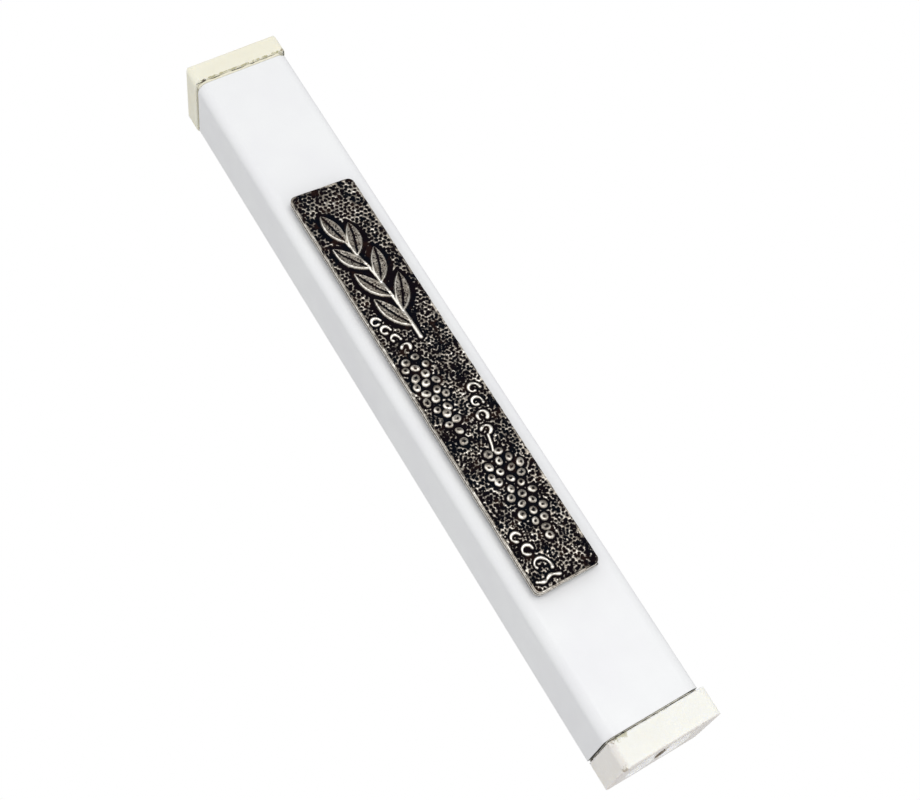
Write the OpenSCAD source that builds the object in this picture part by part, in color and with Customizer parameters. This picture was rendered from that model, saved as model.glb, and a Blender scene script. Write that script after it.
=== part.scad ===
/* Mezuzah case.
   An extruded tube holds the rolled parchment. A cap with a hollow plug closes each end, a cast
   plaque is taped to the front, and a foam strip on the back sticks the case to a doorpost.

   Frame: +Z points up along the case, +X to the right of someone facing the front, and -Y out of
   the front. The doorpost's surface is the plane y = 0, and the origin is at the middle of the
   foam strip's face. Millimetres. */

/* [Case tube] */
// Width across the front
tube_w = 19.8; // [18:0.1:30]
// Depth from front face to back face
tube_d = 16.2; // [15:0.1:26]
// Length of the extrusion
tube_l = 150; // [145:1:220]
// Wall thickness
tube_wall = 1.2; // [0.8:0.1:1.4]
// Radius of the two front edges
front_r = 2.2; // [1.6:0.1:4]
// Radius of the two back edges
back_r = 1.6; // [1.6:0.1:3]

/* [End caps] */
// Height of the top cap's flange
top_flange_h = 4.6; // [3:0.1:8]
// Height of the bottom cap's flange
bottom_flange_h = 5.5; // [4.5:0.1:9]
// How far each flange stands out past the tube's front and back
flange_lip = 0.5; // [0.2:0.05:0.7]
// How far each flange stands out past the tube's sides, on average
flange_side_lip = 0.3; // [0.2:0.05:0.7]
// How far the top flange sits to the left of the tube's middle
top_flange_shift = 0.1; // [0:0.05:0.5]
// How far the bottom flange sits to the right of the tube's middle
bottom_flange_shift = 0.4; // [0:0.05:0.5]
// Gap left between the top flange and the tube's cut end
top_gap = 0.6; // [0.05:0.05:1]
// Gap left between the bottom flange and the tube's cut end
bottom_gap = 0.4; // [0.05:0.05:0.6]
// Radius of the top flange's outer edges
top_edge_r = 1.2; // [0.3:0.1:1.5]
// Radius of the bottom flange's outer edges
bottom_edge_r = 0.5; // [0.3:0.1:1.5]
// Radius of each flange's edges beside the tube
joint_edge_r = 0.4; // [0.2:0.1:0.6]
// Radius of a flange's two upright front edges
flange_front_r = 1.6; // [0.8:0.1:3]
// Radius of a flange's two upright back edges
flange_back_r = 2.4; // [0.8:0.1:3]
// Length of the plug inside the tube
plug_l = 9; // [6:0.5:14]
// Wall thickness of the plug
plug_wall = 1.2; // [0.8:0.1:1.6]
// Clearance between the plug and the tube on each side
plug_gap = 0.3; // [0.2:0.05:0.4]
// How far the grip ribs stand out of the plug
rib_h = 0.2; // [0.05:0.05:0.25]

/* [End face of the bottom cap] */
// How far the slot sits to the left of the tube's middle
slot_left = 0.6; // [-2:0.1:2]
// Width of the slot that a blade goes into to prise the cap out
slot_w = 2.2; // [1.2:0.1:3]
// Length of the slot, from front to back
slot_l = 6.5; // [4:0.1:9]
// Depth of the slot, measured up from the end face
slot_h = 2.6; // [1.5:0.1:3.2]
// Width of the pocket to the left of the slot
left_pocket_w = 3.6; // [3:0.1:5]
// Width of the pocket to the right of the slot
right_pocket_w = 4.6; // [3:0.1:8]
// Depth of the pockets
pocket_h = 1.2; // [0.5:0.1:2]
// Radius of the small hole beside the left pocket
vent_r = 0.45; // [0.4:0.05:0.6]

/* [Plaque] */
// Length
plaque_l = 90.6; // [80:0.1:110]
// Width
plaque_w = 13.2; // [12:0.1:14]
// How far the plaque sits to the left of the tube's middle
plaque_left = 0.45; // [-0.5:0.05:0.5]
// Height of the plaque's middle above the tube's middle
plaque_z = -3.25; // [-15:0.05:15]
// Thickness of the cast ground
ground_t = 1.2; // [1.2:0.1:2]
// Height of the rim and of the relief above the ground
relief_h = 0.6; // [0.3:0.05:0.9]
// Width of the rim
rim_w = 0.45; // [0.3:0.05:0.8]
// Radius of the four corners
plaque_r = 1.2; // [0.8:0.1:2]
// Diameter of one grape
grape_d = 1.7; // [1.2:0.1:1.7]

/* [Adhesive tapes] */
// Thickness of the pad under the plaque
plaque_tape_t = 0.7; // [0.3:0.1:1.2]
// How far the pad's edge lies inside the plaque's edge
plaque_tape_inset = 0.35; // [0.1:0.05:1]
// Thickness of the foam strip on the back
back_tape_t = 1; // [0.8:0.1:2]
// Width of the foam strip
back_tape_w = 14; // [8:0.5:16]
// Length of the foam strip
back_tape_l = 130; // [60:1:140]

/* [Scroll] */
// Height of the parchment
scroll_l = 120; // [90:1:122]
// Outside diameter of the rolled parchment
scroll_d = 10.6; // [8:0.1:12]
// Thickness of the parchment
parchment_t = 0.4; // [0.3:0.05:0.5]
// Turns in the roll
scroll_turns = 4; // [2:1:5]
// Thickness of the sleeve around the roll
wrap_t = 0.2; // [0.15:0.05:0.3]

/* [Hidden] */
$fn = 96;
cut = 0.5;                                      // how far a cutting shape runs past what it cuts
tube_back_y = -back_tape_t;
tube_front_y = tube_back_y - tube_d;
tube_mid_y = tube_back_y - tube_d / 2;
bore_w = tube_w - 2 * tube_wall;
bore_d = tube_d - 2 * tube_wall;
bore_front_r = front_r - tube_wall;
bore_back_r = max(back_r - tube_wall, 0.2);
top_z = tube_l / 2;
bottom_z = -tube_l / 2;

flange_w = tube_w + 2 * flange_side_lip;
flange_d = tube_d + 2 * flange_lip;
plug_w = bore_w - 2 * plug_gap;
plug_d = bore_d - 2 * plug_gap;
plug_front_r = max(bore_front_r - plug_gap, 0.3);
plug_back_r = 0.3;
web_t = 1.2;                                    // thickness of the plug's cross web
rib_w = 1;                                      // width of a grip rib
rib_side = 4.5;                                 // a rib's distance from the middle of the plug's wall
slot_front = 3;                                 // end face left in front of the slot
pocket_front = 1.6;                             // end face left in front of a pocket
pocket_back = 3.6;                              // end face left behind a pocket
pocket_l = flange_d - pocket_front - pocket_back;
pocket_step = 0.45;                             // web between a pocket and the slot
recess_r = 1;                                   // radius at the corners of the recesses
vent_side = 0.8;                                // from the left pocket's edge to the small hole

plaque_back_y = tube_front_y - plaque_tape_t;
ground_y = plaque_back_y - ground_t;
grape_r = grape_d / 2;
grape_pitch = 1.24 * grape_d;                   // distance between neighbouring grapes
grape_row = grape_pitch * cos(30);              // distance between rows of grapes
grape_y = ground_y - relief_h + grape_r;        // a grape's centre, with its top at the rim's height
curl_wire_r = 0.4;                              // radius of a curl's own section
curl_arc = 250;                                 // degrees that a curl turns through
leaf_w = 3.2;                                   // widest part of a leaf
leaf_l = 9.6;                                   // length of the lowest leaf
leaf_lean = 26;                                 // degrees between a leaf and the stem
leaf_count = 6;                                 // leaves along the stem, below the one at its tip
stem_w = 0.8;
stem_r = 105;                                   // bend radius of the sprig's stem
stem_arc = 12.5;                                // degrees of bend in the stem
stem_foot = [1, 9.2];                           // foot of the stem, from the middle of the plaque

scroll_gap = 0.4;                               // between the scroll and the bottom plug's mouth
scroll_z = bottom_z + plug_l + scroll_gap;
wrap_gap = 0.05;                                // between the roll and its sleeve
roll_step = 8;                                  // degrees between points along the rolled sheet
roll_gap = 0.3;                                 // air between the roll's turns
wrap_over = 1;                                  // how far the sleeve runs past the top of the roll

// A rectangle centred on the origin, with one radius at its front corners (-Y) and one at its back.
module case_profile(w, d, r_front, r_back) {
    translate([-w / 2, -d / 2 + r_front]) square([w, d - r_front - r_back]);
    translate([-w / 2 + r_front, -d / 2]) square([w - 2 * r_front, r_front + cut]);
    translate([-w / 2 + r_back, d / 2 - r_back - cut]) square([w - 2 * r_back, r_back + cut]);
    for (side = [-1, 1]) {
        translate([side * (w / 2 - r_front), -d / 2 + r_front]) circle(r_front);
        translate([side * (w / 2 - r_back), d / 2 - r_back]) circle(r_back);
    }
}

// A flange seen from one side: a rectangle standing on the X axis, with the radius r at its two
// upper corners and joint_edge_r at its two lower ones.
module end_outline(w, h, r) {
    translate([-w / 2, joint_edge_r]) square([w, h - r - joint_edge_r]);
    translate([-w / 2 + r, joint_edge_r]) square([w - 2 * r, h - joint_edge_r]);
    translate([-w / 2 + joint_edge_r, 0]) square([w - 2 * joint_edge_r, h - r]);
    for (side = [-1, 1]) {
        translate([side * (w / 2 - r), h - r]) circle(r);
        translate([side * (w / 2 - joint_edge_r), joint_edge_r]) circle(joint_edge_r);
    }
}

// A rectangle centred on the origin with one radius at all four corners.
module rounded_plate(w, l, r) {
    square([w - 2 * r, l], center = true);
    square([w, l - 2 * r], center = true);
    for (x = [-1, 1], y = [-1, 1]) translate([x * (w / 2 - r), y * (l / 2 - r)]) circle(r);
}

// Draws a flat shape on the front of the plaque: its X stays X, its Y becomes Z.
module on_front(y, thickness) {
    translate([-plaque_left, y, plaque_z]) rotate([90, 0, 0]) linear_extrude(thickness) children();
}

module case_tube() {
    color("white") translate([0, tube_mid_y, bottom_z]) difference() {
        linear_extrude(tube_l) case_profile(tube_w, tube_d, front_r, back_r);
        translate([0, 0, -cut]) linear_extrude(tube_l + 2 * cut)
            case_profile(bore_w, bore_d, bore_front_r, bore_back_r);
    }
}

// The flange of a cap, from z = 0 up to its outer edges at z = h, which have the radius r.
module flange(h, r) {
    intersection() {
        linear_extrude(h) case_profile(flange_w, flange_d, flange_front_r, flange_back_r);
        translate([0, flange_d, 0]) rotate([90, 0, 0]) linear_extrude(2 * flange_d)
            end_outline(flange_w, h, r);
        translate([-flange_w, 0, 0]) rotate([90, 0, 90]) linear_extrude(2 * flange_w)
            end_outline(flange_d, h, r);
    }
}

// A box centred on x and y, from z = low up into the flange.
module post(w, d, low) {
    translate([-w / 2, -d / 2, low]) cube([w, d, cut - low]);
}

// The hollow plug of a cap, hanging down from z = 0 across the gap and into the tube, with a cross
// web inside and grip ribs outside.
module plug(gap) {
    depth = plug_l + gap;
    difference() {
        translate([0, 0, -depth]) linear_extrude(depth + cut)
            case_profile(plug_w, plug_d, plug_front_r, plug_back_r);
        translate([0, 0, -depth - cut]) linear_extrude(depth + cut)
            square([plug_w - 2 * plug_wall, plug_d - 2 * plug_wall], center = true);
    }
    post(web_t, plug_d - plug_wall, -depth);
    post(plug_w - plug_wall, web_t, -depth);
    for (side = [-1, 1], along = [-rib_side, rib_side])
        translate([along, side * (plug_d - plug_wall + rib_h) / 2, 0])
            post(rib_w, plug_wall + rib_h, rib_w - depth);
}

module top_cap() {
    color("ivory") translate([0, tube_mid_y, top_z + top_gap]) {
        translate([-top_flange_shift, 0, 0]) flange(top_flange_h, top_edge_r);
        plug(top_gap);
    }
}

// A recess in the end face of the bottom cap, which is upside down here: w wide, l long and as deep
// as depth, with its left side at x and its front at the distance front from the flange's front.
module recess(x, front, w, l, depth) {
    translate([x + w / 2, front + (l - flange_d) / 2, bottom_flange_h - depth])
        linear_extrude(depth + cut) rounded_plate(w, l, recess_r);
}

// The slot, a shallow pocket on each side of it, and a small hole beside the left pocket. The slot's
// middle is x = 0, and the cap is upside down here, so that +X turns to the left of the case.
module end_recesses() {
    pocket_x = slot_w / 2 + pocket_step;
    recess(-slot_w / 2, slot_front, slot_w, slot_l, slot_h);
    recess(pocket_x, pocket_front, left_pocket_w, pocket_l, pocket_h);
    recess(-pocket_x - right_pocket_w, pocket_front, right_pocket_w, pocket_l, pocket_h);
    translate([pocket_x + left_pocket_w + vent_side, 0, bottom_flange_h - pocket_h])
        cylinder(r = vent_r, h = pocket_h + cut);
}

module bottom_cap() {
    color("floralwhite") translate([0, tube_mid_y, bottom_z - bottom_gap]) rotate([0, 180, 0]) {
        difference() {
            translate([-bottom_flange_shift, 0, 0]) flange(bottom_flange_h, bottom_edge_r);
            translate([slot_left, 0, 0]) end_recesses();
        }
        plug(bottom_gap);
    }
}

// A leaf with its foot at the origin, pointing along +Y: the lens where two discs cross.
module leaf(length, width) {
    r = (length * length + width * width) / (4 * width);
    translate([0, length / 2]) intersection() {
        translate([r - width / 2, 0]) circle(r);
        translate([width / 2 - r, 0]) circle(r);
    }
}

// A sprig whose stem bends to the left, with leaves in turn on each side and one at its tip.
module sprig() {
    function on_stem(angle) = stem_foot + stem_r * [cos(angle) - 1, sin(angle)];
    translate(stem_foot - [stem_r, 0]) intersection() {
        difference() {
            circle(stem_r + stem_w / 2, $fn = 480);
            circle(stem_r - stem_w / 2, $fn = 480);
        }
        polygon([[0, 0], 2 * stem_r * [1, 0], 2 * stem_r * [cos(stem_arc), sin(stem_arc)]]);
    }
    for (i = [0 : leaf_count]) {
        angle = (i + 0.3) * stem_arc / (leaf_count + 0.3);
        lean = i == leaf_count ? 0 : i % 2 == 0 ? leaf_lean : -leaf_lean;
        translate(on_stem(angle)) rotate(angle + lean) leaf(leaf_l - 0.3 * i, leaf_w);
    }
}

// A bunch of grapes hanging from (x, z) on the plaque. rows gives the grapes in each row from the
// top, every other row is set over by half a pitch, and lean moves each row to the right.
module grapes(x, z, rows, lean) {
    for (row = [0 : len(rows) - 1], i = [0 : rows[row] - 1])
        translate([x - plaque_left + lean * row + (i - (rows[row] - 1) / 2) * grape_pitch, grape_y,
                   plaque_z + z - row * grape_row])
            sphere(grape_r, $fn = 32);
}

// One curl of the vine at (x, z) on the plaque: part of a ring, which starts at the angle turn.
module curl(x, z, r, turn) {
    translate([x - plaque_left, ground_y, plaque_z + z]) rotate([90, 0, 0]) rotate(turn)
        rotate_extrude(angle = curl_arc, $fn = 48) translate([r, 0]) circle(curl_wire_r, $fn = 24);
}

// The grapes and the three runs of curls between them.
module vine() {
    grapes(-3.2, 4.6, [2, 3, 2, 3, 2, 3, 2, 1, 2, 1], 0.06);
    grapes(0.7, -18.6, [2, 3, 4, 3, 2, 3, 2, 3, 2, 1, 1], 0.08);
    for (i = [0 : 3]) curl(-4.9 + 0.7 * i, 14.2 - 2.3 * i, 0.95, 10 - 15 * i);
    for (i = [0 : 3]) curl(4.3 - 0.85 * i, -5.4 - 2.8 * i, 1.05, -20 - 15 * i);
    for (i = [0 : 1]) curl(-4.3 + 0.5 * i, -34.6 - 2.9 * i, 1.05, 20 - 15 * i);
    curl(-2.9, -40.9, 1.6, -40);
}

module plaque() {
    color("dimgray") {
        on_front(plaque_back_y, ground_t) rounded_plate(plaque_w, plaque_l, plaque_r);
        on_front(plaque_back_y, ground_t + relief_h) difference() {
            rounded_plate(plaque_w, plaque_l, plaque_r);
            rounded_plate(plaque_w - 2 * rim_w, plaque_l - 2 * rim_w, plaque_r - rim_w);
        }
        on_front(ground_y + cut, relief_h + cut) sprig();
        vine();
    }
}

module plaque_tape() {
    color("gray") on_front(tube_front_y, plaque_tape_t)
        rounded_plate(plaque_w - 2 * plaque_tape_inset, plaque_l - 2 * plaque_tape_inset,
                      plaque_r - plaque_tape_inset);
}

module mounting_tape() {
    color("gainsboro") rotate([90, 0, 0]) linear_extrude(back_tape_t)
        rounded_plate(back_tape_w, back_tape_l, 1);
}

// The parchment seen from above: a strip that winds outwards, with its far side walked back.
module rolled_sheet() {
    pitch = parchment_t + roll_gap;
    inner_r = scroll_d / 2 - parchment_t - pitch * scroll_turns;
    function on_roll(angle, side) = (inner_r + side + pitch * angle / 360) * [cos(angle), sin(angle)];
    polygon([
        for (a = [0 : roll_step : 360 * scroll_turns]) on_roll(a, 0),
        for (a = [360 * scroll_turns : -roll_step : 0]) on_roll(a, parchment_t)
    ]);
}

module scroll() {
    color("wheat") translate([0, tube_mid_y, scroll_z]) linear_extrude(scroll_l) rolled_sheet();
}

module scroll_wrap() {
    wrap_r = scroll_d / 2 + wrap_gap;
    color("lightblue", 0.4) translate([0, tube_mid_y, scroll_z]) difference() {
        cylinder(r = wrap_r + wrap_t, h = scroll_l + wrap_over);
        translate([0, 0, -cut]) cylinder(r = wrap_r, h = scroll_l + wrap_over + 2 * cut);
    }
}

case_tube();
top_cap();
bottom_cap();
plaque();
plaque_tape();
mounting_tape();
scroll();
scroll_wrap();
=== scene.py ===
"""Looks of the mezuzah case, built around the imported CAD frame.

Frame: metres, +Z up along the case, +X to the right of someone facing the front, -Y out of the
front, y = 0 on the doorpost. Helpers for the plaque's relief work in millimetres from the middle
of the plaque, with x to the right and v up.
"""
import math

import bpy
import numpy as np
from mathutils import Matrix, Vector


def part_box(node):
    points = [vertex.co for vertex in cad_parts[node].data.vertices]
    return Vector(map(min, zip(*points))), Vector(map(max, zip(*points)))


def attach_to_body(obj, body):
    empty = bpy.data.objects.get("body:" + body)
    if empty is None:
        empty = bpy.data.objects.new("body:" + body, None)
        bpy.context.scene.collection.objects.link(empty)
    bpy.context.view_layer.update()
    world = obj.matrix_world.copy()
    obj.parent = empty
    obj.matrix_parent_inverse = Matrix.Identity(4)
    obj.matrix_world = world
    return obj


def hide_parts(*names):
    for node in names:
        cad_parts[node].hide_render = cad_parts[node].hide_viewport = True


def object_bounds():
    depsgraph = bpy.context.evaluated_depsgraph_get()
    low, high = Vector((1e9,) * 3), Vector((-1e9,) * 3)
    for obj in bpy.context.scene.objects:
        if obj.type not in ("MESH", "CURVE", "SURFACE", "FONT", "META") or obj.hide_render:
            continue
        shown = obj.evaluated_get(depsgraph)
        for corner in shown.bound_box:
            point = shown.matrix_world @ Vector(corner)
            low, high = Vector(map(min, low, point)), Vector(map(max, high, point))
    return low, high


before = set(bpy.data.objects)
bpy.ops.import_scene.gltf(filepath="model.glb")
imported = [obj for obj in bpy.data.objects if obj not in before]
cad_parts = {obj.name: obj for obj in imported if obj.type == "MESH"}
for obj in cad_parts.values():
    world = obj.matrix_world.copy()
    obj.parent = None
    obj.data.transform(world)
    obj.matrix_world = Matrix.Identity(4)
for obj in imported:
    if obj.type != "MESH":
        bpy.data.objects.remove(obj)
CAD_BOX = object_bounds()
MM = 0.001
RNG = np.random.default_rng(18)

BODY_OF = {"case_tube": "case", "plaque": "case", "plaque_tape": "case", "mounting_tape": "case",
           "top_cap": "top_cap", "bottom_cap": "bottom_cap", "scroll": "scroll", "scroll_wrap": "scroll"}


# ---------------------------------------------------------------- material nodes

class Nodes:
    """A material and short calls that add nodes to it. Inputs are sockets or plain values."""

    def __init__(self, name):
        self.material = bpy.data.materials.new(name)
        self.material.use_nodes = True
        self.tree = self.material.node_tree
        self.shader = self.tree.nodes["Principled BSDF"]
        self.place = self.add("ShaderNodeTexCoord").outputs["Object"]

    def add(self, kind, settings=None, **inputs):
        node = self.tree.nodes.new(kind)
        for key, value in (settings or {}).items():
            setattr(node, key, value)
        for key, value in inputs.items():
            self.put(node.inputs[key.replace("_", " ")], value)
        return node

    def put(self, socket, value):
        if isinstance(value, bpy.types.NodeSocket):
            self.tree.links.new(value, socket)
        else:
            socket.default_value = value

    def set(self, **inputs):
        """Sets or links the shader's own inputs."""
        for key, value in inputs.items():
            self.put(self.shader.inputs[key.replace("_", " ")], value)

    def noise(self, scale, detail=4.0, roughness=0.55, stretch=None):
        """Noise over the object's own space; scale is in cells per metre."""
        place = self.place
        if stretch:
            place = self.add("ShaderNodeMapping", Vector=place, Scale=stretch).outputs["Vector"]
        node = self.add("ShaderNodeTexNoise", Vector=place, Scale=scale, Detail=detail, Roughness=roughness)
        return node.outputs["Fac"]

    def cells(self, scale):
        """Distance to the nearest of many scattered points; scale is in cells per metre."""
        return self.add("ShaderNodeTexVoronoi", Vector=self.place, Scale=scale).outputs["Distance"]

    def ramp(self, value, low, high, to_low=0.0, to_high=1.0):
        """Maps value from low..high to to_low..to_high, smoothly and clamped."""
        node = self.add("ShaderNodeMapRange", {"interpolation_type": "SMOOTHSTEP"}, Value=value)
        for index, number in enumerate((low, high, to_low, to_high), start=1):
            node.inputs[index].default_value = number
        return node.outputs["Result"]

    def math(self, operation, a, b=0.0):
        node = self.add("ShaderNodeMath", {"operation": operation})
        self.put(node.inputs[0], a)
        self.put(node.inputs[1], b)
        return node.outputs["Value"]

    def mix(self, factor, a, b):
        """Mixes two colours."""
        node = self.add("ShaderNodeMix", {"data_type": "RGBA"})
        self.put(node.inputs["Factor"], factor)
        for socket, value in ((node.inputs[6], a), (node.inputs[7], b)):
            self.put(socket, (*value, 1.0) if isinstance(value, tuple) else value)
        return node.outputs[2]

    def attribute(self, name):
        return self.add("ShaderNodeAttribute", {"attribute_name": name}).outputs["Fac"]

    def distance(self, place, axes=(1.0, 1.0, 1.0)):
        """Distance to a place, or to the line or plane through it where an axis is left at 0."""
        flat = self.add("ShaderNodeVectorMath", {"operation": "MULTIPLY"})
        self.put(flat.inputs[0], self.place)
        flat.inputs[1].default_value = axes
        away = self.add("ShaderNodeVectorMath", {"operation": "DISTANCE"})
        self.put(away.inputs[0], flat.outputs["Vector"])
        away.inputs[1].default_value = [p * a for p, a in zip(place, axes)]
        return away.outputs["Value"]

    def bump(self, height, distance, strength):
        """Raises the surface by distance where height is 1."""
        node = self.add("ShaderNodeBump", Height=height, Distance=distance, Strength=strength)
        self.put(self.shader.inputs["Normal"], node.outputs["Normal"])


def white_coating():
    """Satin powder coat with fine orange peel, and bare aluminium where the tube was sawn."""
    n = Nodes("white_coating")
    peel = n.noise(2600, 3.0)
    drift = n.noise(60, 2.0)
    dust = n.ramp(n.cells(420), 0.0, 0.035, 1.0, 0.0)
    coat = n.mix(n.ramp(drift, 0.3, 0.7), (0.79, 0.79, 0.80), (0.815, 0.82, 0.82))
    coat = n.mix(n.math("MULTIPLY", dust, 0.35), coat, (0.55, 0.54, 0.52))
    normal = n.add("ShaderNodeTexCoord").outputs["Normal"]
    upwards = n.add("ShaderNodeSeparateXYZ", Vector=normal).outputs["Z"]
    sawn = n.ramp(n.math("ABSOLUTE", upwards), 0.7, 0.8)
    marks = n.noise(900, 2.0, stretch=(0.12, 1.0, 1.0))
    metal = n.mix(marks, (0.22, 0.22, 0.23), (0.5, 0.5, 0.51))
    n.set(Base_Color=n.mix(sawn, coat, metal), Metallic=sawn,
          Roughness=n.ramp(n.noise(300), 0.3, 0.7, 0.36, 0.46))
    n.bump(n.math("ADD", peel, n.math("MULTIPLY", marks, sawn)), 0.02 * MM, 0.5)
    return n.material


def cap_plastic(name, pale, yellowed, marks, depth=0.5):
    """Moulded plastic that has yellowed, with marks in places. Each mark is (place, axes, full, reach,
    strength, colour): a colour laid on thick up to the distance full from a place, line or plane, as
    Nodes.distance has them, and thinning out up to the distance reach; the marks are grime, painted
    shade and painted light. The share depth of the light passes through the plastic."""
    n = Nodes(name)
    colour = n.mix(n.ramp(n.noise(120, 3.0), 0.3, 0.7), pale, yellowed)
    speck = n.ramp(n.cells(500), 0.0, 0.05, 1.0, 0.0)
    colour = n.mix(n.math("MULTIPLY", speck, 0.3), colour, (0.38, 0.32, 0.22))
    streaks = n.noise(1300, 6.0, 0.7)
    pitted = n.ramp(streaks, 0.3, 0.7)
    for place, axes, full, reach, strength, dirt_and_painted_light in marks:
        near = n.ramp(n.distance(place, axes), full, reach, 1.0, 0.0)
        edge = n.math("ADD", near, n.ramp(streaks, 0.35, 0.65, -0.45, 0.25))
        colour = n.mix(n.ramp(edge, 0.35, 0.75, 0.0, strength), colour, dirt_and_painted_light)
    n.set(Base_Color=colour, Roughness=n.ramp(n.noise(500), 0.3, 0.7, 0.42, 0.58),
          Specular_IOR_Level=0.4, Subsurface_Weight=depth, Subsurface_Radius=(1.0, 0.95, 0.8),
          Subsurface_Scale=1.2 * MM)
    n.bump(n.math("ADD", n.noise(1800, 5.0), pitted), 0.02 * MM, 0.5)
    return n.material


def antiqued_casting():
    """Zinc casting under a black wash that pools in the hollows, tinted here and there, and is
    rubbed off the high points. The mesh carries wear, from 0 in a hollow to 1 on a rubbed edge."""
    n = Nodes("antiqued_casting")
    wear = n.attribute("wear")
    grain = n.noise(3000, 5.0, 0.65)
    wash = n.mix(n.ramp(n.noise(300, 3.0), 0.42, 0.60), (0.004, 0.002, 0.004), (0.001, 0.002, 0.005))
    wash = n.mix(n.ramp(n.noise(420, 2.0), 0.55, 0.68), wash, (0.014, 0.006, 0.005))
    bronze = n.mix(n.ramp(n.noise(700, 3.0), 0.35, 0.65), (0.33, 0.290, 0.240), (0.48, 0.440, 0.380))
    silver = n.mix(n.ramp(wear, 0.63, 0.90), bronze, (0.96, 0.92, 0.84))
    rough_wear = n.math("ADD", wear, n.ramp(grain, 0.25, 0.75, -0.13, 0.13))
    rubbed = n.ramp(rough_wear, 0.29, 0.64)
    n.set(Base_Color=n.mix(rubbed, wash, silver), Metallic=rubbed,
          Roughness=n.ramp(rubbed, 0.0, 1.0, 0.45, 0.30), Specular_IOR_Level=0.03)
    n.bump(grain, 0.02 * MM, 0.4)
    return n.material


def foam(name, skin, pore):
    """Closed-cell foam tape: fine pores with a slightly tacky skin."""
    n = Nodes(name)
    pores = n.ramp(n.cells(3200), 0.05, 0.3)
    worn_skin = tuple(0.93 * c for c in skin)
    n.set(Base_Color=n.mix(pores, pore, n.mix(n.ramp(n.noise(90), 0.35, 0.65), skin, worn_skin)),
          Roughness=n.ramp(n.noise(240, 2.0), 0.35, 0.65, 0.35, 0.6))
    n.bump(n.math("ADD", pores, n.noise(180, 2.0)), 0.06 * MM, 0.5)
    return n.material


def parchment():
    """Dry skin, mottled, with fine follicle marks and browner edges."""
    n = Nodes("parchment")
    mottle = n.mix(n.ramp(n.noise(160, 5.0), 0.32, 0.68), (0.74, 0.64, 0.44), (0.62, 0.50, 0.30))
    fibre = n.noise(1100, 5.0, 0.7, stretch=(1.0, 1.0, 0.25))
    colour = n.mix(n.ramp(fibre, 0.45, 0.62, 0.0, 0.5), mottle, (0.86, 0.79, 0.62))
    edge = n.attribute("edge")
    colour = n.mix(n.math("MULTIPLY", edge, 0.7), colour, (0.38, 0.25, 0.12))
    follicles = n.ramp(n.cells(1500), 0.0, 0.12, 1.0, 0.0)
    colour = n.mix(n.math("MULTIPLY", follicles, 0.35), colour, (0.45, 0.33, 0.18))
    n.set(Base_Color=colour, Roughness=n.ramp(n.noise(400), 0.3, 0.7, 0.5, 0.7))
    n.bump(fibre, 0.04 * MM, 0.5)
    return n.material


def clear_film():
    """Thin clear film with faint drawing lines along it."""
    n = Nodes("clear_film")
    lines = n.noise(900, 3.0, stretch=(1.0, 1.0, 0.05))
    n.set(Base_Color=n.mix(n.ramp(n.noise(80), 0.3, 0.7), (0.93, 0.96, 0.97), (0.88, 0.92, 0.95)),
          Roughness=n.ramp(lines, 0.3, 0.7, 0.06, 0.2), Alpha=0.15, IOR=1.46)
    n.bump(lines, 0.02 * MM, 0.4)
    return n.material


# ---------------------------------------------------------------- mesh helpers

def attach(obj, node, material, replaces=True):
    """Puts a piece on the body of a CAD node and gives it the material."""
    obj.data.materials.clear()
    obj.data.materials.append(material)
    if replaces:
        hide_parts(node)
    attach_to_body(obj, BODY_OF[node])


def mesh_piece(name, points, faces, attributes=None):
    """A smooth-shaded object from points in metres, quads or longer faces, and point attributes."""
    mesh = bpy.data.meshes.new(name)
    mesh.from_pydata([tuple(p) for p in points], [], [tuple(int(i) for i in f) for f in faces])
    mesh.validate()
    for key, values in (attributes or {}).items():
        mesh.attributes.new(key, "FLOAT", "POINT").data.foreach_set("value", np.asarray(values, np.float32))
    mesh.shade_smooth()
    obj = bpy.data.objects.new(name, mesh)
    bpy.context.scene.collection.objects.link(obj)
    return obj


def grid_faces(rows, columns, start=0, loop=False):
    """Quads of a grid whose points are stored row by row. loop joins each row's ends."""
    last = columns if loop else columns - 1
    return [(start + r * columns + c, start + r * columns + (c + 1) % columns,
             start + (r + 1) * columns + (c + 1) % columns, start + (r + 1) * columns + c)
            for r in range(rows - 1) for c in range(last)]


def border(rows, columns):
    """Indices of the points round the edge of such a grid, once round."""
    index = np.arange(rows * columns).reshape(rows, columns)
    return np.concatenate([index[0, :-1], index[:-1, -1], index[-1, :0:-1], index[:0:-1, 0]])


def smoothstep(value, low, high):
    """Rises smoothly from 0 at low to 1 at high, or falls if high is below low."""
    t = np.clip((value - low) / (high - low), 0.0, 1.0)
    return t * t * (3.0 - 2.0 * t)


def blur(field, sigma):
    """Gaussian blur of a raster, sigma in cells, with mirrored edges."""
    pad = int(4 * sigma) + 1
    wide = np.pad(field, pad, mode="reflect")
    rows = np.fft.fftfreq(wide.shape[0])[:, None]
    columns = np.fft.rfftfreq(wide.shape[1])[None, :]
    gain = np.exp(-2.0 * (math.pi * sigma) ** 2 * (rows ** 2 + columns ** 2))
    soft = np.fft.irfft2(np.fft.rfft2(wide) * gain, s=wide.shape)
    return soft[pad:-pad, pad:-pad]


def rough(shape, sigma):
    """Seeded smooth random raster with a standard deviation of 1."""
    field = blur(RNG.standard_normal(shape), sigma)
    return field / field.std()


# ---------------------------------------------------------------- the plaque's relief

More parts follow.
